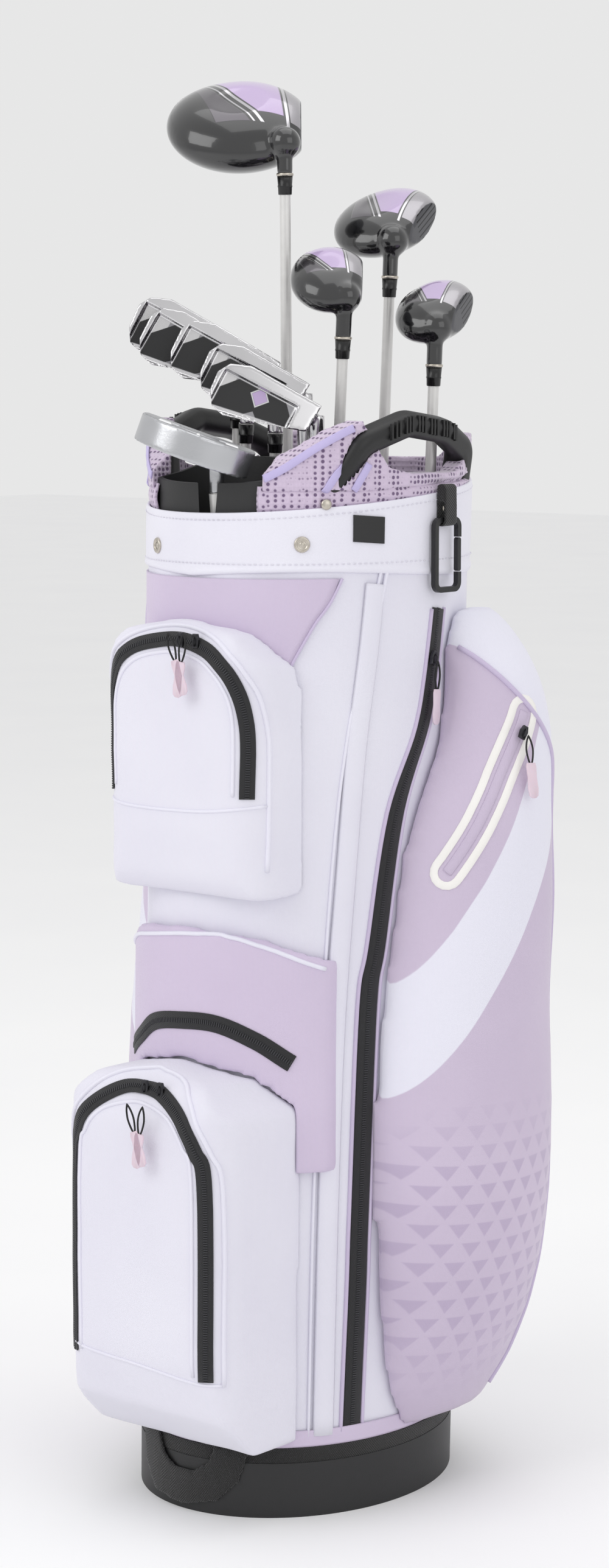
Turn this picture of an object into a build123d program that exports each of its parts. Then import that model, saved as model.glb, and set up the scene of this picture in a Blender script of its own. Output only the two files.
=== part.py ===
from build123d import *
import math
import os

# Golf club set: a cart bag standing on its boot, with ten clubs heads-up in it.
# Origin: middle of the boot's underside. +Z up, -Y the bag's front, +X its right.

# ---- bag tube: an oval that widens and leans back as it rises ----------------
BASE_RX, BASE_RY = 118, 141  # half widths of the oval at the floor
RIM_RX, RIM_RY = 122, 145    # half widths of the oval at RIM_Z
RIM_Z = 850
LEAN = 18                    # how far the oval's middle moves back by RIM_Z
WALL = 4                     # fabric, foam and stiffener together
GAP = 0.3                    # air left between curved soft pieces

BAND_Z = 45                  # webbing band round the top of the boot
TUBE_Z = 57                  # the fabric tube starts above the band
CUFF_Z = 762                 # the stiff cuff starts here
CUFF_FRONT_Z, CUFF_BACK_Z = 808, 835
RING_Z0, RING_Z1 = 808, 824  # moulded top frame, inside the cuff
RING_OUT, RING_IN = -4.6, -14

# ---- pockets, as half width, front face and corner radius in plan ------------
UPPER_POCKET = dict(half=84, face=-157, corner=42, low=508, high=726)
BALL_POCKET = dict(half=86, face=-201, corner=36, low=62, high=374)
MID_POCKET = dict(half=103, low=284, high=480, bulge=9)
SIDE_X = 116                 # middle of the side pockets' plan ovals
# side pocket sections, bottom to top: height, middle in Y, half width in X and in Y
SIDE_SECTIONS = [(60, 44, 14, 56), (78, 46, 26, 66), (107, 48, 42, 78), (152, 50, 62, 86),
                 (215, 50, 80, 91), (420, 54, 82, 88), (500, 62, 80, 82), (569, 70, 76, 71),
                 (630, 88, 66, 56), (677, 87, 53, 48), (705, 84, 34, 40), (726, 80, 14, 26)]
ZIP_T = 1.6                  # zip tape and teeth, standing on the pocket
ZIP_W = 14
SLIDER_PHI, SLIDER_Z = 93, 690   # slider of the right side zip
# the accessory pocket's slanted zip on the right side pocket: its ends and slider, as (y, z)
ACCESSORY_TOP, ACCESSORY_FOOT, ACCESSORY_SLIDER = (76, 645), (2, 532), (66, 630)

# ---- clubs -------------------------------------------------------------------
GRIP_R, GRIP_TIP_R, GRIP_L = 11.3, 8.4, 262
SHAFT_R, TIP_R = 7.4, 4.5
FERRULE_L, HOSEL_L = 15, 46
INSERT_L = 22                # how far a shaft goes into its hosel
HEEL_R = 13.5                # rounded heel of a wood round its hosel
FIT = 0.06                   # radial room of a shaft in its grip and hosel
RIGHT = Vector(0.766, 0.643, 0)      # across the heads, towards the bag's back right
FORWARD = Vector(0.643, -0.766, 0)   # the way the irons' backs look

# Each club: butt and rim are points on the shaft's line at BUTT_Z and SHAFT_RIM_Z, given as
# (across RIGHT, along FORWARD); top is the height where the shaft's line meets the sole, and
# drop is how far below that the hosel of a wood begins.
BUTT_Z, SHAFT_RIM_Z = 32, 830
WOODS = {
    "driver": dict(butt=(-2, -95), rim=(-8, -85), top=1124, twist=0, lie=57,
                   length=112, depth=112, height=54, drop=46),
    "wood_3": dict(butt=(44, -88), rim=(72, -90), top=1044, twist=28, lie=58,
                   length=92, depth=80, height=38, drop=50),
    "hybrid_5": dict(butt=(2, -24), rim=(33, 5), top=996, twist=0, lie=60,
                     length=78, depth=60, height=36, drop=53),
    "hybrid_6": dict(butt=(85, -12), rim=(109, -8), top=972, twist=24, lie=60,
                     length=78, depth=58, height=36, drop=51),
}
IRONS = {
    "iron_7": dict(butt=(-46, -66), rim=(-49, -52), top=948, loft=16, length=84, height=50),
    "iron_8": dict(butt=(-70, -34), rim=(-43, -29), top=936, loft=18, length=84, height=51),
    "iron_9": dict(butt=(-28, -14), rim=(-18, -5), top=929, loft=20, length=80, height=51),
    "pitching_wedge": dict(butt=(12, 12), rim=(7, 20), top=912, loft=24, length=80, height=48),
    "sand_wedge": dict(butt=(20, 42), rim=(16, 47), top=895, loft=28, length=82, height=45),
}
IRON_LIE = 62
PUTTER = dict(butt=(-60, 64), rim=(-63, 90), top=866, lie=70)

# ---- top furniture -----------------------------------------------------------
WELL_Y, WELL_RX, WELL_RY = -112, 54, 66   # plan oval of the putter well's scoop
WELL_FLOOR_Z = 795
WELL_TUBE_R, WELL_TUBE_Z = 15.5, 570
HANDLE_PATH = [(84, -66, 818), (103, -46, 862), (112, 0, 877), (111, 48, 871),
               (102, 84, 856), (84, 100, 818)]
CARABINER_Y, CARABINER_Z = 34, 800        # middle of the carabiner's top bar

os.makedirs("parts", exist_ok=True)


def save(name, shape):
    export_step(shape, f"parts/{name}.step")


def between(z, low, high):
    return low + (high - low) * z / RIM_Z


def axis_y(z):
    return between(z, 0, LEAN)


def column(z0, z1, grow):
    """Solid of the bag's leaning oval from z0 to z1, grown outwards by grow."""
    ends = []
    for z in (z0, z1):
        rx = between(z, BASE_RX, RIM_RX) + grow
        ry = between(z, BASE_RY, RIM_RY) + grow
        ends.append((Pos(0, axis_y(z), z) * Ellipse(rx, ry)).face())
    return loft(ends, ruled=True)


def ring(z0, z1, outer, inner):
    return column(z0, z1, outer) - column(z0 - 5, z1 + 5, inner)


def front_prism(points, depth=300):
    """Outline in X and Z, extruded from the bag's middle out through its front."""
    return extrude(Plane.XZ * make_face(Polyline(points, close=True)), depth)


def side_prism(points, near=-260, far=260):
    """Outline in Y and Z, extruded along X from near to far."""
    face = Plane.YZ.offset(near) * make_face(Polyline(points, close=True))
    return extrude(face, far - near)


def on_tube(phi, z, grow):
    """Point on the tube, phi degrees round from the front towards +X."""
    a = math.radians(phi)
    rx = between(z, BASE_RX, RIM_RX) + grow
    ry = between(z, BASE_RY, RIM_RY) + grow
    return Vector(rx * math.sin(a), axis_y(z) - ry * math.cos(a), z)


def tube_plane(phi, z, grow):
    """Plane on the tube: its z axis points outwards and its y axis up."""
    a = math.radians(phi)
    out = Vector(math.sin(a) / BASE_RX, -math.cos(a) / BASE_RY, 0).normalized()
    return Plane(origin=on_tube(phi, z, grow), x_dir=out.cross(Vector(0, 0, 1)) * -1, z_dir=out)


# ---- boot and tube -----------------------------------------------------------
def base_boot():
    cup = column(0, BAND_Z, 2.5) + column(BAND_Z, TUBE_Z, -0.5)
    return cup - column(6, TUBE_Z + 1, -WALL - 0.5)


def base_band():
    return ring(BAND_Z, TUBE_Z, 2, -0.5)


def bag_body():
    return ring(TUBE_Z, CUFF_Z, 0, -WALL)


def cuff():
    walls = ring(CUFF_Z, 850, 1.5, -3.5)
    slope = (CUFF_BACK_Z - CUFF_FRONT_Z) / (2 * RIM_RY)
    above = [(-200, CUFF_FRONT_Z - slope * 60), (200, CUFF_BACK_Z + slope * 40), (200, 900), (-200, 900)]
    return walls - side_prism(above)


def well_cut():
    """The space the putter well takes out of the frame and pads."""
    oval = Pos(0, WELL_Y, 700) * Ellipse(WELL_RX + 3 + GAP, WELL_RY + 3 + GAP)
    return extrude(oval, 250)


def top_frame():
    """Moulded rim with its dividing ribs, which part the clubs' cells behind the putter well."""
    rim = ring(RING_Z0, RING_Z1, RING_OUT, RING_IN)
    inside = column(RING_Z0, RING_Z1, RING_IN + 2)
    mid_z, tall = (RING_Z0 + RING_Z1) / 2, RING_Z1 - RING_Z0
    ribs = [(-120, 120, 30, 36), (-34, 40, 85, 91), (-37, -31, 33, 160), (37, 43, 33, 160),
            (-37, -31, -80, 33), (-2, 4, -80, 33), (4, 120, 1.3, 5.3)]
    frame = rim
    for x0, x1, y0, y1 in ribs:
        frame += Pos((x0 + x1) / 2, (y0 + y1) / 2, mid_z) * Box(x1 - x0, y1 - y0, tall) & inside
    return frame - well_cut()


def putter_well():
    outer = extrude(Pos(0, WELL_Y, WELL_FLOOR_Z) * Ellipse(WELL_RX + 3, WELL_RY + 3), 100)
    inner = extrude(Pos(0, WELL_Y, WELL_FLOOR_Z + 4) * Ellipse(WELL_RX, WELL_RY), 110)
    outer &= column(WELL_FLOOR_Z - 1, 900, RING_OUT)
    inner &= column(WELL_FLOOR_Z - 1, 930, RING_OUT - 3)
    above = [(-150, 829), (-128, 830), (-112, 832), (-84, 838), (-66, 845), (-46, 850), (-30, 850),
             (-30, 930), (-150, 930)]
    scoop = outer - inner - side_prism(above)
    line = club_plane(PUTTER)
    floor_at = along(PUTTER, WELL_FLOOR_Z + 4)
    low = along(PUTTER, WELL_TUBE_Z)
    tube_line = Plane(origin=low, z_dir=line.z_dir)
    length = (floor_at - low).length
    sleeve = tube_line * Cylinder(WELL_TUBE_R + 2.5, length, align=(Align.CENTER, Align.CENTER, Align.MIN))
    bore = tube_line * Cylinder(WELL_TUBE_R, length + 60, align=(Align.CENTER, Align.CENTER, Align.MIN))
    return scoop + (sleeve & column(500, WELL_FLOOR_Z + 2, RING_OUT)) - bore


def handle():
    path = FilletPolyline(*HANDLE_PATH, radius=[15, 22, 40, 22])
    start = Plane(origin=path @ 0, z_dir=path % 0, x_dir=(1, 0, 0))
    bar = sweep(start * RectangleRounded(22, 20, 8), path=path)
    return bar - column(780, RING_Z1, 5) - cuff()


def collar_pads():
    wall = ring(RING_Z1 + GAP, 900, 0.5, -17)
    cuff_side = column(800, 900, 0.5) - column(799, 901, -3.8)
    rim_line = [(-200, 790), (-200, 813), (200, 842), (200, 790)]
    top = [(-150, 834), (-112, 838), (-66, 872), (-48, 880), (-38, 862), (-24, 843), (0, 838),
           (60, 838), (78, 846), (92, 866), (112, 868), (140, 846), (200, 842), (200, 950), (-150, 950)]
    pads = wall - side_prism(top) - (cuff_side & side_prism(rim_line)) - well_cut()
    for x in (1, -1):
        bar = handle() if x > 0 else mirror(handle(), about=Plane.YZ)
        pads -= bar
    return pads


# ---- pockets -----------------------------------------------------------------
def front_pocket(size, profile, outline, grow=0.0):
    """Pocket on the front: plan block, side profile and front outline, cut to the tube."""
    half, face, corner = size["half"] + grow, size["face"] - grow, size["corner"] + grow
    plan = RectangleRounded(2 * half, 2 * abs(face), corner)
    block = extrude(Pos(0, 0, size["low"] - 20) * plan, size["high"] - size["low"] + 40)
    block &= side_prism(profile) & front_prism(outline)
    return block - column(size["low"] - 40, size["high"] + 40, GAP)


def upper_shape(grow=0.0):
    profile = [(-60, 500), (-138, 506 - grow), (-150 - grow, 520), (-157 - grow, 560),
               (-157 - grow, 690), (-150 - grow, 712), (-136, 727 + grow), (-60, 735)]
    outline = [(-92 - grow, 506 - grow), (-94 - grow, 640), (-80 - grow, 690 + grow),
               (-56, 716 + grow), (0, 726 + grow), (56, 716 + grow), (80 + grow, 690 + grow),
               (94 + grow, 640), (92 + grow, 506 - grow)]
    return front_pocket(UPPER_POCKET, profile, outline, grow)


def ball_shape(grow=0.0):
    profile = [(-60, 60), (-152, 62 - grow), (-186 - grow, 96), (-201 - grow, 140),
               (-201 - grow, 330), (-190 - grow, 356), (-170, 371 + grow), (-60, 378)]
    outline = [(-96 - grow, 60), (-98 - grow, 300), (-84 - grow, 338 + grow), (-58, 362 + grow),
               (0, 373 + grow), (58, 362 + grow), (84 + grow, 338 + grow), (98 + grow, 300),
               (96 + grow, 60)]
    return front_pocket(BALL_POCKET, profile, outline, grow)


def arch_band(outer_half, top, legs_z, width):
    """Upside-down U in X and Z: the run of a zip round a pocket's front."""
    def arch(half, high, low):
        return [(-half, low), (-half, high - 42), (-half + 22, high - 14), (0, high),
                (half - 22, high - 14), (half, high - 42), (half, low)]
    return front_prism(arch(outer_half, top, legs_z)) - front_prism(
        arch(outer_half - width, top - width, legs_z - 1))


def slider_block(x, y, z):
    return Pos(x, y - 2.2, z) * Box(7, 4, 12)


def upper_zip():
    band = (upper_shape(ZIP_T) - upper_shape()) & arch_band(84, 722, 585, ZIP_W)
    face = UPPER_POCKET["face"] - ZIP_T
    blocks = [slider_block(x, face, 714) for x in (10, 26)]
    return [band.solid()] + blocks


def ball_zip():
    band = (ball_shape(ZIP_T) - ball_shape()) & arch_band(84, 366, 132, ZIP_W)
    face = BALL_POCKET["face"] - ZIP_T
    blocks = [slider_block(x, face, 346) for x in (4, 20)]
    return [band.solid()] + blocks


def mid_shape(grow=0.0):
    half, low, high = MID_POCKET["half"] + grow, MID_POCKET["low"], MID_POCKET["high"]
    outline = [(-half, low), (-half, high - 26), (-60, high - 6), (0, high), (60, high - 6),
               (half, high - 26), (half, low)]
    shell = ring(low, high + 10, MID_POCKET["bulge"] + grow, GAP)
    return shell & front_prism(outline)


def mid_pocket():
    return mid_shape() - ball_shape(GAP)


def mid_zip():
    skin = mid_shape(ZIP_T) - mid_shape()
    return skin & front_prism([(-84, 392), (-40, 406), (0, 411), (40, 406), (84, 392), (84, 380),
                               (40, 394), (0, 399), (-40, 394), (-84, 380)])


def side_block(grow=0.0):
    """Bulging side pocket as a loft of ovals, before the tube is cut out of it."""
    ovals = [Pos(SIDE_X, y, z) * Ellipse(rx + grow, ry + grow) for z, y, rx, ry in SIDE_SECTIONS]
    return loft([oval.face() for oval in ovals])


def side_pocket():
    return side_block() - column(0, 800, GAP)


def side_zip_strip():
    """Zip tape down the front edge of the right side pocket, lying on the tube."""
    line = [(33, 729), (24, 677), (13, 635), (-17, 569), (-36, 462), (-44, 413), (-51, 243), (-58, 66)]
    front = [(y - 8, z) for y, z in line]
    rear = [(y + 8, z) for y, z in reversed(line)]
    skin = ring(64, 731, 1.8, GAP)
    return (skin & side_prism(front + rear, near=60)) - side_block(GAP)


def accessory_zip():
    (y1, z1), (y0, z0) = ACCESSORY_TOP, ACCESSORY_FOOT
    band = side_block(ZIP_T) - side_block()
    return band & side_prism([(y0 - 8, z0), (y0 + 8, z0), (y1 + 8, z1), (y1 - 8, z1)], near=150)


def side_slider():
    seat = tube_plane(SLIDER_PHI, SLIDER_Z, 2.1)
    return seat * Box(7, 12, 4, align=(Align.CENTER, Align.CENTER, Align.MIN))


def side_pull():
    seat = tube_plane(SLIDER_PHI, SLIDER_Z, 4.4)
    pull = extrude(RectangleRounded(3, 36, 1.2), 1.6) + extrude(Pos(0, -30) * RectangleRounded(10, 26, 3), 1.6)
    return seat * Pos(0, -20, 2.6) * pull


def accessory_plane(grow, foot):
    """Plane on the side pocket's outer face at the slider, its y axis pointing away from foot."""
    block = side_block(grow)
    y, z = ACCESSORY_SLIDER
    high, low, rear = (block.find_intersection_points(Axis((300, *place), (-1, 0, 0)))[0][0]
                       for place in ((y, z), foot, (y + 12, z)))
    up = (high - low).normalized()
    out = (rear - high).cross(up).normalized()
    return Plane(origin=high, x_dir=up.cross(out), z_dir=out)


def accessory_slider():
    partway = [(a + b) / 2 for a, b in zip(ACCESSORY_SLIDER, ACCESSORY_FOOT)]
    seat = accessory_plane(ZIP_T + 2.6, partway)
    return seat * Box(7, 12, 4, align=(Align.CENTER, Align.CENTER, Align.MIN))


def accessory_pull():
    """Hangs straight down from its slider, although the zip slants."""
    y, z = ACCESSORY_SLIDER
    pull = extrude(RectangleRounded(3, 36, 1.2), 1.6) + extrude(Pos(0, -30) * RectangleRounded(10, 26, 3), 1.6)
    return accessory_plane(ZIP_T + 4.8, (y, z - 59)) * Pos(0, -20, 2.6) * pull


def hanging_pull(x, face, slider_z):
    """Front pull: cord and rubber tab hanging from the eye of a front slider."""
    flat = Plane(origin=(x, face - 8.4, slider_z), x_dir=(1, 0, 0), z_dir=(0, -1, 0))
    pull = extrude(Pos(0, -8) * RectangleRounded(3, 22, 1.2), 1.6)
    pull += extrude(Pos(0, -30) * RectangleRounded(10, 27, 3), 1.6)
    return flat * pull


def upper_pulls():
    face = UPPER_POCKET["face"] - ZIP_T
    return [hanging_pull(x, face, 714).solid() for x in (10, 26)]


def ball_pulls():
    face = BALL_POCKET["face"] - ZIP_T
    return [hanging_pull(x, face, 346).solid() for x in (4, 20)]


# ---- straps and metalware ----------------------------------------------------
def towel_loop():
    """Webbing folded round the carabiner's top bar, riveted to the cuff."""
    x = carabiner_plane().origin.X
    outside = Plane.XZ.offset(-CARABINER_Y - 8) * Pos(x, CARABINER_Z + 12) * RectangleRounded(10, 34, 4.9)
    inside = Plane.XZ.offset(-CARABINER_Y - 9) * Pos(x, CARABINER_Z + 6) * RectangleRounded(6.8, 18.8, 3.39)
    return extrude(outside, 16) - extrude(inside, 18) - column(700, 850, 1.5 + GAP)


def carabiner_plane():
    x = on_tube(97, CARABINER_Z, 1.5).X + 5.4
    return Plane(origin=(x, CARABINER_Y, CARABINER_Z), x_dir=(0, 1, 0), z_dir=(1, 0, 0))


def carabiner_body():
    bar = 4.4
    outer = Pos(0, bar / 2 - 30) * RectangleRounded(34, 60, 8)
    inner = Pos(0, bar / 2 - 30) * RectangleRounded(34 - 2 * bar, 60 - 2 * bar, 3.6)
    gate_gap = Pos(15, -28) * Rectangle(12, 28)
    return carabiner_plane() * extrude(outer - inner - gate_gap, bar / 2, both=True)


def carabiner_gate():
    bar = Pos(14.6, -28) * RectangleRounded(4.4, 27, 2)
    return carabiner_plane() * extrude(bar, 2, both=True)


def grab_strap():
    outline = front_prism([(-56, 60), (-50, 28), (-34, 8), (0, 4), (34, 12), (50, 30), (58, 58),
                           (30, 58), (26, 44), (10, 34), (-6, 34), (-20, 42), (-28, 60)])
    return ring(0, 80, 6, 3.2) & outline


def shoulder_strap():
    path = FilletPolyline((0, 166, 752), (0, 196, 700), (0, 206, 600), (0, 196, 500), (0, 160, 440),
                          radius=[30, 60, 30])
    start = Plane(origin=path @ 0, z_dir=path % 0, x_dir=(1, 0, 0))
    return sweep(start * RectangleRounded(52, 6, 2.5), path=path) - column(400, 800, GAP)


def cuff_hardware():
    studs = []
    for phi, z, r in ((42, 784, 6), (-21, 780, 6), (50, 818, 5), (-50, 818, 5), (-97, 812, 5)):
        seat = tube_plane(phi, z, 1.7)
        studs.append(seat * Cylinder(r, 2, align=(Align.CENTER, Align.CENTER, Align.MIN)))
    return studs


# ---- clubs -------------------------------------------------------------------
def spot(pair, z):
    point = RIGHT * pair[0] + FORWARD * pair[1]
    return Vector(point.X, point.Y, z)


def club_axis(club):
    return (spot(club["rim"], SHAFT_RIM_Z) - spot(club["butt"], BUTT_Z)).normalized()


def along(club, z):
    """Point on a club's shaft line at height z."""
    start, way = spot(club["butt"], BUTT_Z), club_axis(club)
    return start + way * ((z - BUTT_Z) / way.Z)


def club_plane(club):
    return Plane(origin=spot(club["butt"], BUTT_Z), z_dir=club_axis(club))


def head_plane(club, toe_way, lie):
    """Head axes at the heel: x to the toe, y to the back, z out of the sole."""
    way = club_axis(club)
    flat = (toe_way - way * toe_way.dot(way)).normalized()
    toe = flat * math.sin(math.radians(lie)) + way * math.cos(math.radians(lie))
    sole = way * math.sin(math.radians(lie)) - flat * math.cos(math.radians(lie))
    return Plane(origin=along(club, club["top"]), x_dir=toe, z_dir=sole)


def shaft_length(club):
    return (along(club, club["top"]) - spot(club["butt"], BUTT_Z)).length


def grip(club, butt_r=GRIP_R, tip_r=GRIP_TIP_R):
    sleeve = Cone(butt_r, tip_r, GRIP_L, align=(Align.CENTER, Align.CENTER, Align.MIN))
    bore = Pos(0, 0, 4) * Cylinder(SHAFT_R - 1.2 + FIT, GRIP_L, align=(Align.CENTER, Align.CENTER, Align.MIN))
    return club_plane(club) * (sleeve - bore)


def shaft(club, hosel_end):
    """Straight butt, tapered middle, parallel tip, and the ferrule above the hosel."""
    bottom = (Align.CENTER, Align.CENTER, Align.MIN)
    tip = hosel_end + INSERT_L
    rod = Pos(0, 0, 4) * Cylinder(SHAFT_R - 1.2, GRIP_L, align=bottom)
    taper = hosel_end - FERRULE_L - 40 - GRIP_L - 4
    rod += Pos(0, 0, GRIP_L + 4) * Cone(SHAFT_R - 1.2, TIP_R, taper, align=bottom)
    rod += Pos(0, 0, GRIP_L + 4 + taper) * Cylinder(TIP_R, tip - GRIP_L - 4 - taper, align=bottom)
    collar = Cone(TIP_R + 0.9, TIP_R + 1.9, FERRULE_L, align=bottom)
    collar -= Cylinder(TIP_R + FIT, 3 * FERRULE_L, align=(Align.CENTER, Align.CENTER, Align.CENTER))
    place = club_plane(club)
    return [place * rod, place * Pos(0, 0, hosel_end - FERRULE_L) * collar]


def hosel(club, start, length, r):
    place = club_plane(club) * Pos(0, 0, start)
    return place * Cylinder(r, length, align=(Align.CENTER, Align.CENTER, Align.MIN))


def tip_bore(club, start):
    place = club_plane(club) * Pos(0, 0, start - 1)
    return place * Cylinder(TIP_R + FIT, INSERT_L + 1 + FIT, align=(Align.CENTER, Align.CENTER, Align.MIN))


def wood_head(club):
    """Wood or hybrid head: a flattened egg with a flat face and sole, and its hosel."""
    twist = math.radians(club["twist"])
    toe_way = RIGHT * math.sin(twist) - FORWARD * math.cos(twist)
    axes = head_plane(club, toe_way, club["lie"])
    back = 1 if axes.y_dir.dot(RIGHT) < 0 else -1
    rx, ry, rz = club["length"] / 2, club["depth"] / 2, club["height"] / 2
    egg = scale(Sphere(1), (rx * 1.04, ry * 1.1, rz * 1.1))
    egg = Pos(rx - 20, back * (ry - 18), -rz) * egg
    face_cut = Pos(rx, -back * (14 + 100), -rz) * Box(400, 200, 400)
    sole_cut = Pos(0, 0, 100) * Box(400, 400, 200)
    heel = Pos(-8, 0, -17) * Sphere(HEEL_R)
    body = axes * (egg + heel - face_cut - sole_cut)
    neck = shaft_length(club) - club["drop"]
    stem = hosel(club, neck, club["drop"] - 12, 6.6)
    return (body + stem - tip_bore(club, neck)).solid(), neck


def iron_head(club):
    """Cavity-back blade: heel at the hosel, toe up, leading edge level with the sole."""
    axes = head_plane(club, RIGHT * -1, IRON_LIE)
    back = 1 if axes.y_dir.dot(FORWARD) > 0 else -1
    length, tall = club["length"], club["height"]
    slant = math.tan(math.radians(club["loft"])) * tall
    edge = [(-6, -2), (length - 24, 0), (length - 8, -6), (length - 2, -16), (length - 3, -tall + 14),
            (length - 10, -tall + 3), (length - 22, -tall), (-4, -26)]
    slab = extrude(Plane.XZ.offset(-60) * make_face(Polyline(edge, close=True)), 120)
    section = [(-5, 0), (13, 0), (slant + 4, -tall), (slant - 2.5, -tall)]
    wedge = extrude(Plane.YZ.offset(-30) * make_face(Polyline(
        [(back * y, z) for y, z in section], close=True)), length + 60)
    top = shaft_length(club)
    neck = top - HOSEL_L - 16
    stem = hosel(club, neck, HOSEL_L + 4, 6.4)
    blade = axes * (slab & wedge)
    return (blade + stem - tip_bore(club, neck)).solid(), neck


def putter_head():
    """Half-moon mallet, sole up, its flat face away from FORWARD, with a short neck at its middle."""
    axes = head_plane(PUTTER, RIGHT * -1, PUTTER["lie"])
    front = -1 if axes.y_dir.dot(FORWARD) > 0 else 1
    plate = Pos(14, -front * 3) * Circle(47)
    plate &= Pos(14, -front * 47) * Rectangle(110, 120)
    body = extrude(plate, -22)
    ring_slot = Pos(14, -front * 6) * (Circle(27) - Circle(17)) & Pos(14, -front * 27) * Rectangle(80, 40)
    body -= Pos(0, 0, -7) * extrude(ring_slot, 10)
    top = shaft_length(PUTTER)
    neck = top - 44
    stem = hosel(PUTTER, neck, 36, 6)
    return (axes * body + stem - tip_bore(PUTTER, neck)).solid(), neck


def build_bag():
    right = handle()
    save("base_boot", base_boot())
    save("base_band", base_band())
    save("bag_body", bag_body())
    save("cuff", cuff())
    save("top_frame", top_frame())
    save("putter_well", putter_well())
    save("handle_right", right)
    save("handle_left", mirror(right, about=Plane.YZ))
    save("collar_pads", collar_pads())
    save("upper_pocket", upper_shape())
    save("upper_zip", Compound(upper_zip()))
    save("upper_pulls", Compound(upper_pulls()))
    save("ball_pocket", ball_shape())
    save("ball_zip", Compound(ball_zip()))
    save("ball_pulls", Compound(ball_pulls()))
    save("mid_pocket", mid_pocket())
    save("mid_zip", mid_zip())
    pocket, strip = side_pocket(), side_zip_strip()
    save("side_pocket_right", pocket)
    save("side_pocket_left", mirror(pocket, about=Plane.YZ))
    save("side_zips", Compound([strip, mirror(strip, about=Plane.YZ), accessory_zip()]))
    save("side_slider", side_slider())
    save("side_pull", side_pull())
    save("accessory_slider", accessory_slider())
    save("accessory_pull", accessory_pull())
    save("towel_loop", towel_loop())
    save("carabiner", carabiner_body())
    save("carabiner_gate", carabiner_gate())
    save("grab_strap", grab_strap())
    save("shoulder_strap", shoulder_strap())
    save("cuff_hardware", Compound(cuff_hardware()))


def build_clubs():
    heads = {name: (wood_head, club) for name, club in WOODS.items()}
    heads.update({name: (iron_head, club) for name, club in IRONS.items()})
    heads["putter"] = (lambda club: putter_head(), PUTTER)
    for name, (make, club) in heads.items():
        head, neck = make(club)
        save(f"{name}_head", head)
        save(f"{name}_shaft", Compound(shaft(club, neck)))
        save(f"{name}_grip", grip(club))


build_bag()
build_clubs()
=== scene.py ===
import math

import bmesh
import bpy
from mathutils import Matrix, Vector, noise
from mathutils.bvhtree import BVHTree


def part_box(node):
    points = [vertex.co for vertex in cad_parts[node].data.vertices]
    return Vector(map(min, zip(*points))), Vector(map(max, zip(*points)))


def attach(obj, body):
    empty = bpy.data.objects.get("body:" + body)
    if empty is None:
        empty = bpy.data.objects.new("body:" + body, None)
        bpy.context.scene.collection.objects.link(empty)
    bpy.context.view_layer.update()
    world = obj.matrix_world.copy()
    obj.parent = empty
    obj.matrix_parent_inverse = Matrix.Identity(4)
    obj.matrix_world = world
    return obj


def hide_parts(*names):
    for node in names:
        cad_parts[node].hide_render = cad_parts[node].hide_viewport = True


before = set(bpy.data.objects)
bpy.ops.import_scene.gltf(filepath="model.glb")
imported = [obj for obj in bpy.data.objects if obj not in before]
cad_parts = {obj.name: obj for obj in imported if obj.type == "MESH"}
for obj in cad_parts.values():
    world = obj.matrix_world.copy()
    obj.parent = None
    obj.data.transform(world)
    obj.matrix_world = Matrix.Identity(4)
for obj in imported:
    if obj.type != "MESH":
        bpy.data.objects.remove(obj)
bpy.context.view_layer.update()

# Camera: at chest height in front of the bag and round towards its right side, looking slightly
# down, with a long lens so that the bag keeps its straight sides.
camera = bpy.data.objects.new("camera", bpy.data.cameras.new("camera"))
bpy.context.scene.collection.objects.link(camera)
camera.location = (1.7355, -2.0683, 0.93)
camera.rotation_euler = (math.radians(82.61), 0, math.radians(40))
camera.data.sensor_fit = "VERTICAL"
camera.data.sensor_height = 36
camera.data.lens = 75.8
camera.data.shift_x = 0.0049
bpy.context.scene.camera = camera
bpy.context.scene.view_settings.view_transform = "Standard"


def srgb(red, green, blue):
    """Colour from 0-255 steps as a maker reads it off a swatch."""
    return tuple((c / 12.92 if c <= 0.04045 else ((c + 0.055) / 1.055) ** 2.4)
                 for c in (red / 255, green / 255, blue / 255)) + (1,)


class Wire:
    """A socket in a finish: sums, products and comparisons of wires add their Math nodes."""

    def __init__(self, tree, socket):
        self.tree = tree
        self.socket = socket

    def math(self, operation, *values):
        node = self.tree.nodes.new("ShaderNodeMath")
        node.operation = operation
        for slot, value in zip(node.inputs, values):
            join(self.tree, slot, value)
        return Wire(self.tree, node.outputs[0])

    def __add__(self, other):
        return self.math("ADD", self, other)

    __radd__ = __add__

    def __mul__(self, other):
        return self.math("MULTIPLY", self, other)

    __rmul__ = __mul__

    def __sub__(self, other):
        return self.math("SUBTRACT", self, other)

    def __rsub__(self, other):
        return self.math("SUBTRACT", other, self)

    def __truediv__(self, other):
        return self.math("DIVIDE", self, other)

    def __gt__(self, other):
        return self.math("GREATER_THAN", self, other)

    def __lt__(self, other):
        return self.math("LESS_THAN", self, other)

    def sine(self):
        return self.math("SINE", self)

    def size(self):
        return self.math("ABSOLUTE", self)

    def root(self):
        return self.math("SQRT", self)

    def whole(self):
        return self.math("FLOOR", self)

    def rest(self):
        return self.math("FRACT", self)

    def at_most(self, other):
        return self.math("MINIMUM", self, other)

    def at_least(self, other):
        return self.math("MAXIMUM", self, other)

    def step(self, edge, soft):
        """0 below edge, 1 above it, over a soft width."""
        return ((self - edge) / soft + 0.5).at_most(1).at_least(0)


def join(tree, slot, value):
    if isinstance(value, Wire):
        tree.links.new(value.socket, slot)
    else:
        slot.default_value = value


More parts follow.
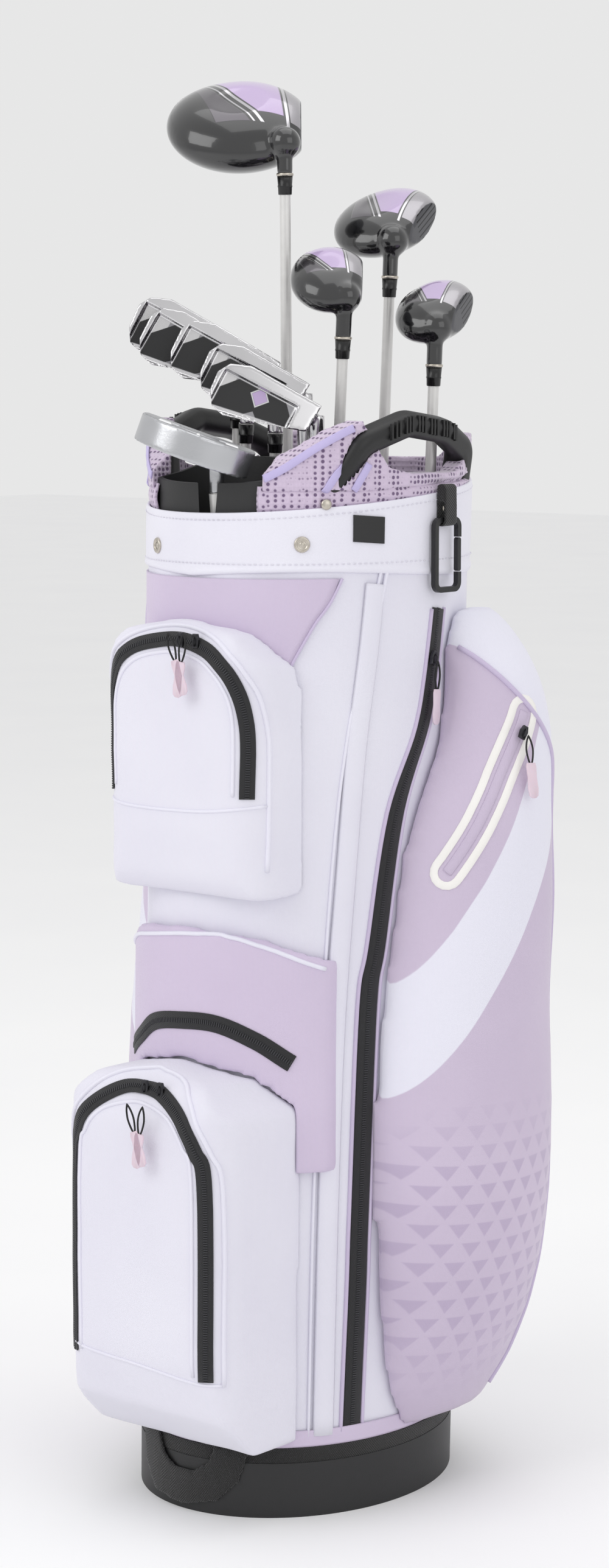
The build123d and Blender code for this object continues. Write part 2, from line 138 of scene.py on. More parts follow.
class Finish:
    """A material on one Principled shader; uniform values are set on its own sockets."""

    def __init__(self, name, **uniform):
        self.material = bpy.data.materials.new(name)
        self.material.use_nodes = True
        self.tree = self.material.node_tree
        self.shader = self.tree.nodes["Principled BSDF"]
        for socket, value in uniform.items():
            self.shader.inputs[socket.replace("_", " ")].default_value = value
        place = self.node("TexCoord", out="Object")
        self.place = place
        split = self.tree.nodes.new("ShaderNodeSeparateXYZ")
        join(self.tree, split.inputs[0], place)
        self.x, self.y, self.z = (Wire(self.tree, socket) for socket in split.outputs)

    def node(self, kind, settings=None, out=0, **inputs):
        """Any other node: its type, its settings first, then its sockets."""
        made = self.tree.nodes.new("ShaderNode" + kind)
        for name, value in (settings or {}).items():
            if name == "stops":
                ramp = made.color_ramp
                while len(ramp.elements) < len(value):
                    ramp.elements.new(0.5)
                for element, (at, colour) in zip(ramp.elements, value):
                    element.position = at
                    element.color = colour
            else:
                setattr(made, name, value)
        for name, value in inputs.items():
            join(self.tree, made.inputs[name.replace("_", " ")], value)
        return Wire(self.tree, made.outputs[out])

    def speckle(self, scale, detail=2.0):
        return self.node("TexNoise", Vector=self.place, Scale=scale, Detail=detail)

    def mix(self, mask, low, high):
        made = self.tree.nodes.new("ShaderNodeMix")
        made.data_type = "RGBA"
        for index, value in ((0, mask), (6, low), (7, high)):
            join(self.tree, made.inputs[index], value)
        return Wire(self.tree, made.outputs[2])

    def feed(self, **wires):
        for socket, wire in wires.items():
            join(self.tree, self.shader.inputs[socket.replace("_", " ")], wire)
        return self

    def bump(self, height, distance, strength=1.0):
        return self.feed(Normal=self.node("Bump", Height=height, Distance=distance, Strength=strength))


# Studio: a wide pale floor that meets a pale sky, with a broad key light from the front left, a
# fill from the right and a soft top light.
floor_finish = Finish("studio_paper", Roughness=0.9)
floor_finish.feed(Base_Color=floor_finish.mix(floor_finish.speckle(3.0), srgb(247, 247, 248),
                                              srgb(252, 252, 252)))
FLOOR = 14
floor_mesh = bpy.data.meshes.new("studio_floor")
floor_mesh.from_pydata([(-FLOOR, -FLOOR, 0), (FLOOR, -FLOOR, 0), (FLOOR, FLOOR, 0), (-FLOOR, FLOOR, 0)], [],
                       [(0, 1, 2, 3)])
floor = bpy.data.objects.new("studio_floor", floor_mesh)
floor_mesh.materials.append(floor_finish.material)
bpy.context.scene.collection.objects.link(floor)
world = bpy.data.worlds.new("studio")
bpy.context.scene.world = world
world.use_nodes = True
world.node_tree.nodes["Background"].inputs[0].default_value = (1, 1, 1, 1)
world.node_tree.nodes["Background"].inputs[1].default_value = 0.80
LIT = Vector((0, 0, 0.6))
for name, place, size, power in (("key", (-0.9, -3.0, 2.6), 2.2, 30), ("fill", (3.0, -0.6, 1.8), 2.0, 9),
                                 ("top", (0.2, 0.3, 3.4), 2.4, 16)):
    lamp = bpy.data.lights.new(name, "AREA")
    lamp.size = size
    lamp.energy = power
    light = bpy.data.objects.new(name, lamp)
    light.location = place
    light.rotation_euler = (LIT - Vector(place)).to_track_quat("-Z", "Y").to_euler()
    bpy.context.scene.collection.objects.link(light)

# Body tube: a fabric tube sewn over foam and stiffeners, an oval that leans back a little as it
# rises. Its white cloth shows between the pockets, with slight swells and hollows.
BASE_X, BASE_Y = 0.118, 0.141
GROW_UP = 0.004
LEAN = 0.018
RIM = 0.85
TUBE_LOW, TUBE_HIGH = 0.057, 0.806
BAG_MIDDLE_Y = 0.01
MM = 0.001


def on_tube(phi, z, out=0.0):
    """Point on the tube at an angle from its front towards its right, z and out in metres."""
    turn = math.radians(phi)
    rx, ry = BASE_X + GROW_UP * z / RIM + out, BASE_Y + GROW_UP * z / RIM + out
    return Vector((rx * math.sin(turn), LEAN * z / RIM - ry * math.cos(turn), z))


def tube_normal(phi):
    turn = math.radians(phi)
    return Vector((math.sin(turn) / BASE_X, -math.cos(turn) / BASE_Y, 0)).normalized()


def smooth_line(points, steps=8):
    """Smooth run through given points, each a tuple of the same length."""
    ends = [points[0]] + list(points) + [points[-1]]
    line = []
    for a, b, c, d in zip(ends, ends[1:], ends[2:], ends[3:]):
        for i in range(steps):
            t = i / steps
            line.append(tuple(0.5 * (2 * q + (r - p) * t + (2 * p - 5 * q + 4 * r - s) * t * t
                                     + (3 * q - p - 3 * r + s) * t ** 3) for p, q, r, s in zip(a, b, c, d)))
    return line + [tuple(points[-1])]


def piece(name, verts, faces, finish, body="bag", smooth=True):
    mesh = bpy.data.meshes.new(name)
    mesh.from_pydata([tuple(v) for v in verts], [], faces)
    mesh.validate()
    work = bmesh.new()
    work.from_mesh(mesh)
    bmesh.ops.recalc_face_normals(work, faces=work.faces)
    work.to_mesh(mesh)
    work.free()
    mesh.polygons.foreach_set("use_smooth", [smooth] * len(mesh.polygons))
    mesh.materials.append(finish.material)
    made = bpy.data.objects.new(name, mesh)
    bpy.context.scene.collection.objects.link(made)
    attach(made, body)
    return made


def sheet_between(name, rows, finish, thick, closed=False):
    """Cloth of one thickness laid over rows of points, its edges closed."""
    wide, tall = len(rows[0]), len(rows)
    verts = [v for row in rows for v in row]
    faces = [(j * wide + i, j * wide + (i + 1) % wide, (j + 1) * wide + (i + 1) % wide, (j + 1) * wide + i)
             for j in range(tall - 1) for i in range(wide if closed else wide - 1)]
    made = piece(name, verts, faces, finish)
    solid = made.modifiers.new("thickness", "SOLIDIFY")
    solid.thickness = thick
    solid.offset = -1
    return made


def flip_out(made):
    """Turns an open skin's faces so that they look away from the bag's middle."""
    mesh = made.data
    face = mesh.polygons[len(mesh.polygons) // 2]
    outward = Vector((face.center.x, face.center.y - BAG_MIDDLE_Y, 0))
    if face.normal.dot(outward) < 0:
        mesh.flip_normals()
    return made


def cloth(name, light, dark, rough=0.62, weave=0.5):
    """Coated polyester: a fine weave, faint shade changes and soft creases."""
    made = Finish(name, Sheen_Weight=0.25, Sheen_Roughness=0.4, Specular_IOR_Level=0.35)
    threads = (made.x * 5200 + made.y * 5200).sine() * (made.z * 6400).sine()
    patches = made.speckle(9.0, 3.0)
    made.feed(Base_Color=made.mix(patches * 0.8 + threads * 0.06, dark, light),
              Roughness=rough + patches * 0.12)
    return made.bump(threads * weave * 0.2 + made.speckle(26.0, 3.0) * 0.8, 0.0011, 0.5)


white_cloth = cloth("white_oxford", srgb(238, 237, 246), srgb(224, 222, 235))
TUBE_STEPS, TUBE_LEVELS = 144, 90
tube_rows = []
for j in range(TUBE_LEVELS + 1):
    z = TUBE_LOW + (TUBE_HIGH - TUBE_LOW) * j / TUBE_LEVELS
    row = []
    for i in range(TUBE_STEPS):
        phi = 360 * i / TUBE_STEPS
        soft = noise.noise(Vector((phi / 17, z * 5, 0.3))) * 0.0012
        row.append(on_tube(phi, z, soft - 0.0008))
    tube_rows.append(row)
tube = flip_out(sheet_between("body_tube", tube_rows, white_cloth, 0.0035, closed=True))
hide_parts("bag_body")

# Lilac yoke: a lilac panel sewn on under the cuff at the front, ending in a point at the upper
# pocket's edge, and a narrow lilac strip round the foot of the tube above the webbing.
lilac_cloth = cloth("lilac_oxford", srgb(219, 206, 228), srgb(203, 189, 213))


def tube_panel(name, levels, finish, out, thick, across=40):
    """Panel on the tube from levels of (z, left phi, right phi)."""
    rows = [[on_tube(left + (right - left) * i / across, z, out) for i in range(across + 1)]
            for z, left, right in smooth_line(levels, 6)]
    return flip_out(sheet_between(name, rows, finish, thick))


tube_panel("lilac_yoke", [(0.757, -58, 55), (0.74, -54, 52), (0.724, -50, 47), (0.70, -44, 41),
                          (0.676, -39, 36)], lilac_cloth, 0.0011, 0.0012)
tube_panel("foot_strip", [(0.0575, -180, 179.9), (0.071, -180, 179.9)], lilac_cloth, 0.0012, 0.0014,
           across=180)

# Piping: thin cord in a folded strip of cloth, sewn into each seam. It runs down the front seams,
# along the yoke's edges, and beside each seam the cloth stands up in a soft fold.


def sweep(name, path, normals, section, finish, body="bag", closed=False):
    """Solid run of one section, as (across, out) points, along a path with its outward ways."""
    count, around = len(path), len(section)
    verts = []
    for i, (point, out) in enumerate(zip(path, normals)):
        ahead = path[(i + 1) % count] if closed or i + 1 < count else point
        behind = path[i - 1] if closed or i else point
        along = (ahead - behind).normalized()
        side = along.cross(out).normalized()
        up = side.cross(along)
        verts += [point + side * a + up * b for a, b in section]
    runs = count if closed else count - 1
    faces = [(i * around + j, i * around + (j + 1) % around,
              ((i + 1) % count) * around + (j + 1) % around, ((i + 1) % count) * around + j)
             for i in range(runs) for j in range(around)]
    if not closed:
        faces += [tuple(range(around)), tuple(range((count - 1) * around, count * around))]
    return piece(name, verts, faces, finish, body)


def round_section(radius, sides=8, flat=1.0):
    return [(radius * math.cos(2 * math.pi * k / sides), radius * flat * math.sin(2 * math.pi * k / sides))
            for k in range(sides)]


def band_section(width, thick):
    half, edge = width / 2, thick * 0.4
    return [(-half, 0), (half, 0), (half, thick - edge), (half - edge, thick), (-half + edge, thick),
            (-half, thick - edge)]


def tube_line(pairs, out=0.0):
    line = smooth_line(pairs, 8)
    return [on_tube(phi, z, out) for phi, z in line], [tube_normal(phi) for phi, z in line]


piping_cloth = cloth("piping_cloth", srgb(240, 239, 248), srgb(226, 224, 238), 0.5, 0.2)
lilac_piping = cloth("lilac_piping", srgb(212, 200, 224), srgb(196, 183, 211), 0.5, 0.2)
SEAM = [(73, 0.768), (68, 0.71), (61.6, 0.637), (57, 0.541), (53.6, 0.395), (51.7, 0.247), (51.2, 0.066)]
for side, label in ((1, "right"), (-1, "left")):
    for shift, radius in ((0, 0.0017), (-2.4, 0.0013)):
        path, out = tube_line([(side * (phi + shift), z) for phi, z in SEAM])
        sweep(f"seam_piping_{label}_{-shift:.0f}", path, out, round_section(radius), piping_cloth)
    path, out = tube_line([(side * 56, 0.757), (side * 52, 0.738), (side * 47, 0.722), (side * 41, 0.698),
                           (side * 36, 0.676)], 0.0009)
    sweep(f"yoke_edge_{label}", path, out, round_section(0.0012), lilac_piping)
    path, out = tube_line([(side * 68, 0.752), (side * 66, 0.70), (side * 62, 0.62), (side * 59, 0.52),
                           (side * 56, 0.40), (side * 54.6, 0.25), (side * 54, 0.066)], 0.0002)
    fold = [(-0.009, 0), (0.009, 0), (0.007, 0.0016), (0.002, 0.0026), (-0.004, 0.0022), (-0.008, 0.001)]
    sweep(f"soft_fold_{label}", path, out, fold, white_cloth)

# Boot and webbing: one moulded black boot that takes the wear of the floor, with a fine grain, and
# a woven webbing band sewn round its top edge.


def moulded(name, colour, rough=0.42, grain=900.0):
    made = Finish(name, Specular_IOR_Level=0.5)
    fine = made.speckle(grain, 2.0)
    wear = made.speckle(14.0, 4.0)
    dark, light = (tuple(c * shade for c in colour[:3]) + (1,) for shade in (0.8, 1.35))
    made.feed(Base_Color=made.mix(wear, dark, light), Roughness=rough + wear * 0.12)
    return made.bump(fine, 0.0003, 0.35)


boot_plastic = moulded("boot_plastic", srgb(28, 28, 29))
webbing = Finish("black_webbing", Roughness=0.75, Sheen_Weight=0.2)
ribs = (webbing.z * 2600).sine() * ((webbing.x + webbing.y) * 2600).sine()
webbing.feed(Base_Color=webbing.mix(ribs * 0.5 + 0.5, srgb(14, 14, 14), srgb(32, 31, 31)))
webbing.bump(ribs, 0.0006, 0.6)


def refinish(node, finish):
    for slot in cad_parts[node].material_slots:
        slot.material = finish.material


refinish("base_boot", boot_plastic)
refinish("base_band", webbing)

# Cuff: a stiff board collar in smooth coated cloth, hemmed at the bottom and stitched along its
# top edge, higher at the back, with snaps, rivets and a bare black patch.
cuff_cloth = Finish("coated_cloth", Specular_IOR_Level=0.45, Coat_Weight=0.12, Coat_Roughness=0.35)
cuff_patch = cuff_cloth.speckle(11.0, 3.0)
cuff_cloth.feed(Base_Color=cuff_cloth.mix(cuff_patch, srgb(226, 224, 236), srgb(239, 238, 247)),
                Roughness=0.38 + cuff_patch * 0.12)
cuff_cloth.bump(cuff_cloth.speckle(620.0, 2.0) + cuff_cloth.speckle(30.0, 2.0) * 1.5, 0.0006, 0.4)


CUFF_FRONT, CUFF_BACK = 0.8085, 0.8345
CUFF_FRONT_Y, CUFF_DEPTH = -0.128, 0.291
CUFF_LOW, HEM_WAVE = 0.7575, 0.004


def cuff_top(phi):
    y = LEAN * 0.95 - 0.145 * math.cos(math.radians(phi))
    return CUFF_FRONT + (CUFF_BACK - CUFF_FRONT) * (y - CUFF_FRONT_Y) / CUFF_DEPTH


cuff_profile = [(0.0, -0.0006), (0.03, 0.0012), (0.075, 0.0021), (0.11, 0.0011), (0.16, 0.0006),
                (0.5, 0.0011), (0.87, 0.0007), (0.93, 0.0010), (0.975, 0.0009), (1.0, -0.0002)]
cuff_rows = []
for share, out in cuff_profile:
    row = []
    for i in range(TUBE_STEPS):
        phi = 360 * i / TUBE_STEPS
        bottom = CUFF_LOW + HEM_WAVE * math.sin(math.radians(abs((phi + 180) % 360 - 180) * 2.2))
        soft = noise.noise(Vector((phi / 22, share * 2, 4.1))) * 0.0008
        row.append(on_tube(phi, bottom + (cuff_top(phi) - bottom) * share, out + soft + 0.0006))
    cuff_rows.append(row)
cuff = flip_out(sheet_between("cuff_skin", cuff_rows, cuff_cloth, 0.0034, closed=True))
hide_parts("cuff")
smoother = cuff.modifiers.new("round", "SUBSURF")
smoother.levels = 1
smoother.render_levels = 1

thread = cloth("white_thread", srgb(246, 245, 250), srgb(214, 211, 224), 0.5, 0.1)


STITCH_PITCH, STITCH_L, STITCH_R = 0.0042, 0.003, 0.00042


def stitches(name, path, normals):
    """Row of single stitches lying on a surface."""
    verts, faces = [], []
    travelled, due = 0.0, 0.0
    for a, b, out in zip(path, path[1:], normals):
        travelled += (b - a).length
        if travelled < due:
            continue
        due = travelled + STITCH_PITCH
        along = (b - a).normalized()
        side = along.cross(out).normalized()
        base = len(verts)
        for share, wide in ((-0.5, 0.35), (-0.3, 1), (0.3, 1), (0.5, 0.35)):
            for across, up in ((-1, 0), (0, 1), (1, 0), (0, -1)):
                verts.append(a + along * share * STITCH_L + side * across * STITCH_R * wide
                             + out * up * STITCH_R * wide)
        for ring in range(3):
            for k in range(4):
                faces.append((base + ring * 4 + k, base + ring * 4 + (k + 1) % 4,
                              base + ring * 4 + 4 + (k + 1) % 4, base + ring * 4 + 4 + k))
        faces += [tuple(base + k for k in range(4)), tuple(base + 12 + k for k in range(4))]
    return piece(name, verts, faces, thread)


seam_phis = [k * 0.5 for k in range(720)]
seam_ways = [tube_normal(phi) for phi in seam_phis]
stitches("cuff_stitches", [on_tube(phi, cuff_top(phi) - 0.0062, 0.0018) for phi in seam_phis], seam_ways)
stitches("hem_stitches", [on_tube(phi, 0.7685, 0.0021) for phi in seam_phis], seam_ways)

nickel = Finish("nickel_plate", Metallic=1.0)
nickel_wear = nickel.speckle(300.0, 2.0)
nickel.feed(Base_Color=nickel.mix(nickel_wear, srgb(176, 168, 156), srgb(214, 208, 198)),
            Roughness=0.22 + nickel_wear * 0.12)


def turned(name, centre, normal, profile, finish, body="bag", sides=28):
    """Round part from a profile of (radius, height), standing along normal."""
    lean = normal.to_track_quat("Z", "Y").to_matrix()
    turns = [2 * math.pi * k / sides for k in range(sides)]
    verts, faces = [centre + lean @ Vector((0, 0, profile[0][1]))], []
    for radius, height in profile[1:-1]:
        verts += [centre + lean @ Vector((radius * math.cos(t), radius * math.sin(t), height)) for t in turns]
    verts.append(centre + lean @ Vector((0, 0, profile[-1][1])))
    rings = len(profile) - 2
    for k in range(sides):
        after = (k + 1) % sides
        faces.append((0, 1 + k, 1 + after))
        for low in range(1, 1 + (rings - 1) * sides, sides):
            faces.append((low + k, low + sides + k, low + sides + after, low + after))
        faces.append((len(verts) - 1, 1 + (rings - 1) * sides + after, 1 + (rings - 1) * sides + k))
    return piece(name, verts, faces, finish, body)


SNAP = [(0, -0.002), (0.0062, -0.002), (0.0064, 0.0006), (0.0058, 0.0014), (0.0044, 0.0016),
        (0.0040, 0.0007), (0.0022, 0.0005), (0.0018, 0.0012), (0, 0.0013)]
RIVET = [(0, -0.002), (0.0042, -0.002), (0.0043, 0.0005), (0.0036, 0.0013), (0.002, 0.0018), (0, 0.0019)]
for label, phi, z, profile in (("snap_front", 42, 0.784, SNAP), ("snap_left", -21, 0.780, SNAP),
                               ("rivet_front", 50, 0.815, RIVET), ("rivet_loop", 97, 0.809, RIVET)):
    turned(label, on_tube(phi, z, 0.0016), tube_normal(phi), profile, nickel)
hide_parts("cuff_hardware")
PATCH_PHI, PATCH_Z = 65, 0.795
patch_rows = [[on_tube(PATCH_PHI + turn, PATCH_Z + rise - turn * 0.0002, 0.0027)
               for turn in (-5.6, -5, -2.5, 0, 2.5, 5, 5.6)]
              for rise in (-0.0105, -0.0085, 0, 0.0085, 0.0105)]
flip_out(sheet_between("bare_patch", patch_rows, boot_plastic, 0.0016))

# Divider top: a moulded ribbed frame in the cuff, the putter well and two lift handles, all in
# black plastic; the handles carry moulded slots outside for grip.
refinish("top_frame", boot_plastic)
well_plastic = moulded("well_plastic", srgb(37, 37, 38), 0.5)
refinish("putter_well", well_plastic)
handle_plastic = moulded("handle_plastic", srgb(24, 24, 25), 0.4)
HANDLE = [(103, -46, 862), (110, -22, 872), (112, 0, 877), (112, 24, 874), (111, 48, 871), (107, 66, 864)]
HANDLE_RIBS = 17
BOX_FACES = ((0, 1, 3, 2), (4, 6, 7, 5), (0, 4, 5, 1), (2, 3, 7, 6), (0, 2, 6, 4), (1, 5, 7, 3))
for side, label in ((1, "right"), (-1, "left")):
    refinish(f"handle_{label}", handle_plastic)
    line = [Vector((side * x * MM, y * MM, z * MM)) for x, y, z in smooth_line(HANDLE, 6)]
    verts, faces = [], []
    for k in range(HANDLE_RIBS):
        at = line[int(5 + k * (len(line) - 8) / HANDLE_RIBS)]
        base = len(verts)
        for dy in (-0.0011, 0.0011):
            for dz in (-0.0065, 0.0065):
                for dx in (0.0092, 0.0116):
                    verts.append(at + Vector((side * dx, dy, dz)))
        faces += [tuple(base + n for n in face) for face in BOX_FACES]
    piece(f"handle_ribs_{label}", verts, faces, handle_plastic, smooth=False)

# Collar pads: lilac spacer mesh over foam, rolled over the rim either side of the putter well and
# on the divider ribs, edged with violet binding where they end.
spacer = Finish("spacer_mesh", Sheen_Weight=0.4, Specular_IOR_Level=0.25)
holes = spacer.node("TexVoronoi", {"feature": "F1"}, out="Distance",
                    Vector=spacer.place, Scale=230.0, Randomness=0.18)
# The mesh holes are painted dark purple as painted shade down inside the holes.
painted_hole_shade = 1 - holes.step(0.34, 0.14)
spacer.feed(Base_Color=spacer.mix(painted_hole_shade, srgb(208, 192, 214), srgb(112, 92, 124)),
            Roughness=0.85 - painted_hole_shade * 0.1)
spacer.bump(holes, 0.0022, 0.8)
binding = cloth("violet_binding", srgb(206, 196, 236), srgb(188, 177, 220), 0.55, 0.3)


def soft_copy(name, node, finish, voxel, rounds, crease=0.0, size=14.0, seed=0.0, body="bag"):
    """Copy of a CAD solid with an even mesh, rounded edges and, if sewn, creases along its skin."""
    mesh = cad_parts[node].data.copy()
    mesh.materials.clear()
    mesh.materials.append(finish.material)
    made = bpy.data.objects.new(name, mesh)
    bpy.context.scene.collection.objects.link(made)
    cell = made.modifiers.new("cells", "REMESH")
    cell.mode = "VOXEL"
    cell.voxel_size = voxel
    cell.use_smooth_shade = True
    ease = made.modifiers.new("ease", "SMOOTH")
    ease.factor = 0.5
    ease.iterations = rounds
    solid = bpy.data.meshes.new_from_object(made.evaluated_get(bpy.context.evaluated_depsgraph_get()))
    made.modifiers.clear()
    made.data = solid
    if crease:
        normals = [v.normal.copy() for v in solid.vertices]
        for vertex, normal in zip(solid.vertices, normals):
            spot = Vector((vertex.co.x, vertex.co.y, vertex.co.z * 0.8)) * size + Vector((0, 0, seed))
            push = noise.noise(spot) * 0.7 + (0.5 - abs(noise.noise(spot * 2.3))) * 0.6
            vertex.co += normal * (push - 0.3) * crease
    solid.polygons.foreach_set("use_smooth", [True] * len(solid.polygons))
    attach(made, body)
    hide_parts(node)
    return made


WELL_PHI, SKIRT_TOP = 26, 0.829
for side, label in ((1, "right"), (-1, "left")):
    skirt = []
    for share in (k / 8 for k in range(9)):
        row = []
        for i in range(73):
            phi = side * (WELL_PHI + (180 - WELL_PHI) * i / 72)
            low = cuff_top(phi) - 0.003
            row.append(on_tube(phi, low + (max(SKIRT_TOP, low + 0.006) - low) * share,
                               -0.0028 + 0.0026 * math.sin(math.pi * share)))
        skirt.append(row)
    flip_out(sheet_between(f"pad_skirt_{label}", skirt, spacer, 0.0018))
pads = soft_copy("collar_pads_soft", "collar_pads", spacer, 0.0016, 9, 0.0008, 30.0)
RIB_Z = 0.8268
RIBS = [((-0.102, 0.033), (0.102, 0.033), 0.0034), ((-0.034, 0.088), (0.040, 0.088), 0.0034),
        ((-0.034, 0.036), (-0.034, 0.142), 0.0034), ((0.040, 0.036), (0.040, 0.140), 0.0034),
        ((-0.034, -0.052), (-0.034, 0.030), 0.0034), ((0.001, -0.040), (0.001, 0.030), 0.0034),
        ((0.006, 0.0033), (0.104, 0.0033), 0.0022)]
for number, (start, end, radius) in enumerate(RIBS):
    line = [Vector((start[0] + (end[0] - start[0]) * t / 12, start[1] + (end[1] - start[1]) * t / 12,
                    RIB_Z + 0.002 * math.sin(math.pi * t / 12))) for t in range(13)]
    pad = sweep(f"divider_pad_{number + 1}", line, [Vector((0, 0, 1))] * 13, round_section(radius, 12, 1.5),
                spacer)

# Front pockets: sewn shells that bulge over what they hold, white above and below, with a flat
# lilac pocket between them. Piping follows each seam, and the zips run round the arched tops.
upper, ball = (soft_copy(f"{name}_pocket_soft", f"{name}_pocket", white_cloth, 0.0042, 8,
                         0.0016, 11.0, seed) for name, seed in (("upper", 2.0), ("ball", 5.0)))
middle = soft_copy("mid_pocket_soft", "mid_pocket", lilac_cloth, 0.0036, 5, 0.0008, 12.0,
                   7.0)


def skin_tree(made):
    work = bmesh.new()
    work.from_mesh(made.data)
    tree = BVHTree.FromBMesh(work)
    work.free()
    return tree


def drape(tree, pairs, way, out=0.0, steps=8):
    """Line laid on a sewn shape: pairs are (x, z) seen from the front or (y, z) from a side."""
    path, normals = [], []
    for across, z in smooth_line(pairs, steps):
        if way == "front":
            start, aim = Vector((across * MM, -1, z * MM)), Vector((0, 1, 0))
        else:
            start, aim = Vector((way, across * MM, z * MM)), Vector((-way, 0, 0))
        point, normal, _, _ = tree.ray_cast(start, aim, 1.0)
        if point is not None:
            if normal.dot(aim) > 0:
                normal = -normal
            path.append(point + normal * out)
            normals.append(normal)
    last = len(normals) - 1
    eased = [sum((normals[min(max(i + k, 0), last)] for k in range(-2, 3)), Vector()).normalized()
             for i in range(len(normals))]
    return path, eased


# Bindings: violet tape folded over the pads' raw edges, round the handle roots and up the ends
# beside the putter well.
pads_tree = skin_tree(pads)
EDGES = {"front_rear": [(-58, 822), (-51, 834), (-44, 846)],
         "front_fore": [(-77, 824), (-69, 838), (-60, 852)],
         "well_end": [(-110, 835), (-100, 843), (-84, 857), (-66, 869), (-56, 874)]}
for side, label in ((1, "right"), (-1, "left")):
    for tag, pairs in EDGES.items():
        path, out = drape(pads_tree, pairs, side, 0.0003)
        sweep(f"binding_{tag}_{label}", path, out, band_section(0.0062, 0.0012), binding)

# Zips and front piping: black woven tape with two rows of moulded teeth, sewn round the pockets
# inside their piped seams.
zip_tape = Finish("zip_tape", Roughness=0.7, Sheen_Weight=0.15)
tape_rib = (zip_tape.z * 3600).sine() * ((zip_tape.x + zip_tape.y) * 3600).sine()
zip_tape.feed(Base_Color=zip_tape.mix(tape_rib * 0.5 + 0.5, srgb(22, 22, 24), srgb(38, 38, 41)))
zip_tape.bump(tape_rib, 0.0004, 0.5)
zip_coil = moulded("zip_coil", srgb(52, 52, 56), 0.35)
TOOTH_PITCH = 0.0019
TOOTH = [(-1, -1, -1), (1, -1, -1), (1, 1, -1), (-1, 1, -1), (-0.6, -0.8, 1), (0.6, -0.8, 1), (0.6, 0.8, 1),
         (-0.6, 0.8, 1)]
TOOTH_FACES = [(0, 3, 2, 1), (4, 5, 6, 7), (0, 1, 5, 4), (1, 2, 6, 5), (2, 3, 7, 6), (3, 0, 4, 7)]


def zip_run(name, path, normals, width, node=None):
    """Zip: a woven tape and its two rows of moulded teeth down the middle."""
    tape = sweep(name + "_tape", path, normals, band_section(width, 0.0010), zip_tape)
    if node:
        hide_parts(node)
    verts, faces = [], []
    travelled, due = 0.0, 0.0
    for a, b, out in zip(path, path[1:], normals):
        length = (b - a).length
        along = (b - a).normalized()
        side = along.cross(out).normalized()
        while due < travelled + length:
            at = a + along * (due - travelled) + out * 0.0011
            base = len(verts)
            verts += [at + along * ahead * 0.00055 + side * across * 0.0021 + out * up * 0.0006
                      for ahead, across, up in TOOTH]
            faces += [tuple(base + n for n in face) for face in TOOTH_FACES]
            due += TOOTH_PITCH
        travelled += length
    return piece(name + "_teeth", verts, faces, zip_coil, smooth=False)


upper_tree, ball_tree, middle_tree = skin_tree(upper), skin_tree(ball), skin_tree(middle)
PIPED = [
    ("upper_piping", upper_tree, 0.0020, [(-80, 530), (-80, 645), (-70, 686), (-50, 708), (-20, 718),
                                          (12, 719), (48, 709), (70, 686), (80, 645), (80, 530)]),
    ("upper_inner_piping", upper_tree, 0.0015, [(-62, 590), (-62, 648), (-54, 675), (-36, 692), (-10, 699),
                                                (12, 699), (36, 692), (54, 675), (62, 648), (62, 590)]),
    ("upper_flap_seam", upper_tree, 0.0012, [(-80, 578), (-40, 575), (0, 575), (40, 577), (80, 582)]),
    ("ball_piping", ball_tree, 0.0020, [(-80, 128), (-80, 279), (-74, 314), (-60, 342), (-36, 362), (-6, 369),
                                        (10, 369), (40, 362), (60, 342), (74, 314), (80, 279), (80, 128)]),
    ("ball_inner_piping", ball_tree, 0.0015, [(-60, 135), (-60, 290), (-52, 318), (-36, 336), (-10, 345),
                                              (10, 345), (36, 336), (52, 318), (60, 290), (60, 135)]),
    ("ball_flap_seam", ball_tree, 0.0012, [(-80, 140), (-40, 136), (0, 134), (40, 131), (80, 129)]),
    ("mid_top_piping", middle_tree, 0.0018, [(-101, 446), (-70, 462), (-43, 468), (-10, 473), (12, 475),
                                             (39, 475), (70, 466), (101, 449)])]
for name, tree, radius, pairs in PIPED:
    path, out = drape(tree, pairs, "front", 0.0003)
    sweep(name, path, out, round_section(radius), piping_cloth)
ZIPPED = [("upper_zip", upper_tree, 0.0125, [(-71, 585), (-71, 646), (-62, 680), (-43, 700), (-15, 708),
                                             (12, 709), (42, 700), (62, 680), (71, 646), (71, 588)]),
          ("ball_zip", ball_tree, 0.0125, [(-70, 132), (-70, 284), (-63, 316), (-48, 338), (-22, 354),
                                           (0, 357), (22, 354), (48, 338), (63, 316), (70, 284), (70, 132)]),
          ("mid_zip", middle_tree, 0.014, [(-84, 366), (-58, 382), (-33, 398), (0, 404), (33, 404), (62, 392),
                                           (84, 374)])]
for name, tree, width, pairs in ZIPPED:
    path, out = drape(tree, pairs, "front", 0.0002)
    zip_run(name, path, out, width, name)

# Side pockets: long lilac apparel pockets that swell from the tube, with a white pointed gusset on
# top, a white diagonal band and, on the right, a slanted accessory zip with a welded outline.
side_cloth = cloth("side_oxford", srgb(210, 197, 217), srgb(196, 182, 205))


